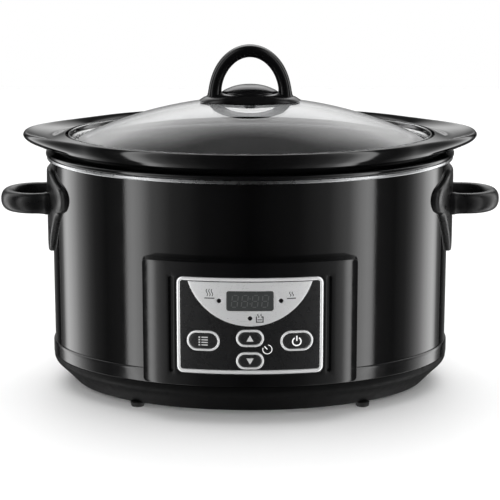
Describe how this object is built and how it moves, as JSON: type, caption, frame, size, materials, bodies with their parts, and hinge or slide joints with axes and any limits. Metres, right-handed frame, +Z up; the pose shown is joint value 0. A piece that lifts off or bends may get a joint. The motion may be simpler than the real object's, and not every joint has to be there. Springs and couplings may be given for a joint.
{
  "type": "slow cooker",
  "caption": "Oval slow cooker: heated base with side handles and a push-button panel, lift-out stoneware crock and domed glass lid.",
  "frame": {"origin": "on the table under the middle of the oval body, at the bottom of the feet", "axes": "+Z up, +X along the long axis to the right-hand handle, -Y towards the control panel and the user"},
  "size_m": [0.4, 0.2459, 0.2742],
  "materials": {
    "smoked_glass": "clear tempered glass, lightly grey, polished",
    "gloss_handle_plastic": "black phenolic, high gloss",
    "plated_steel": "zinc plated",
    "black_glaze": "black stoneware with a deep clear glaze",
    "gloss_paint": "high gloss black coating",
    "bright_trim": "bright polished trim",
    "liner_enamel": "gloss black enamel",
    "base_plastic": "black moulding, gloss band over a satin foot",
    "foot_rubber": "matt black rubber",
    "housing_plastic": "gloss black moulding",
    "fascia_film": "dark grey printed film",
    "brushed_panel": "fine brushed silver",
    "display_glass": "tinted display window",
    "light_lens": "unlit clear lens",
    "button_plastic": "satin dark grey",
    "circuit_board": "green solder resist",
    "grey_component": "moulded grey",
    "copper_winding": "copper winding"
  },
  "bodies": {
    "base": {"arc_panel": "brushed_panel", "base_moulding": "base_plastic", "bezel_frame": "bright_trim", "bottom_cover": "plated_steel", "capacitor": "grey_component", "control_board": "circuit_board", "control_housing": "housing_plastic", "control_ribbon": "grey_component", "cord_gland": "foot_rubber", "cover_screw_front_left": "plated_steel", "cover_screw_front_right": "plated_steel", "cover_screw_rear_left": "plated_steel", "cover_screw_rear_right": "plated_steel", "display_lens": "display_glass", "display_module": "grey_component", "down_button_ring": "bright_trim", "down_switch": "grey_component", "fascia_panel": "fascia_film", "foot_front_left": "foot_rubber", "foot_front_right": "foot_rubber", "foot_rear_left": "foot_rubber", "foot_rear_right": "foot_rubber", "handle_screw_left_front": "plated_steel", "handle_screw_left_rear": "plated_steel", "handle_screw_right_front": "plated_steel", "handle_screw_right_rear": "plated_steel", "heating_band": "plated_steel", "heating_liner": "liner_enamel", "high_heat_light": "light_lens", "low_heat_light": "light_lens", "menu_button_ring": "bright_trim", "menu_switch": "grey_component", "outer_wrap": "gloss_paint", "power_board": "circuit_board", "power_button_ring": "bright_trim", "power_switch": "grey_component", "relay": "grey_component", "side_handle_left": "gloss_handle_plastic", "side_handle_right": "gloss_handle_plastic", "temperature_sensor": "plated_steel", "thermal_fuse": "grey_component", "top_trim_ring": "bright_trim", "transformer": "copper_winding", "up_button_ring": "bright_trim", "up_switch": "grey_component", "warm_light": "light_lens"},
    "crock": {"stoneware_crock": "black_glaze"},
    "lid": {"lid_glass": "smoked_glass", "lid_handle": "gloss_handle_plastic", "lid_washer": "plated_steel", "lid_screw": "plated_steel"},
    "menu_button": {"menu_button": "button_plastic"},
    "up_button": {"up_button": "button_plastic"},
    "down_button": {"down_button": "button_plastic"},
    "power_button": {"power_button": "button_plastic"}
  },
  "joints": [
    {"name": "crock_lift", "type": "slide", "parent": "base", "child": "crock", "axis": [0, 0, 1], "range_m": [0, 0.16]},
    {"name": "lid_lift", "type": "slide", "parent": "crock", "child": "lid", "axis": [0, 0, 1], "range_m": [0, 0.09]},
    {"name": "menu_button_press", "type": "slide", "parent": "base", "child": "menu_button", "axis": [0, 1, 0], "range_m": [0, 0.001], "stiffness_N_per_m": 800},
    {"name": "up_button_press", "type": "slide", "parent": "base", "child": "up_button", "axis": [0, 1, 0], "range_m": [0, 0.001], "stiffness_N_per_m": 800},
    {"name": "down_button_press", "type": "slide", "parent": "base", "child": "down_button", "axis": [0, 1, 0], "range_m": [0, 0.001], "stiffness_N_per_m": 800},
    {"name": "power_button_press", "type": "slide", "parent": "base", "child": "power_button", "axis": [0, 1, 0], "range_m": [0, 0.001], "stiffness_N_per_m": 800}
  ]
}
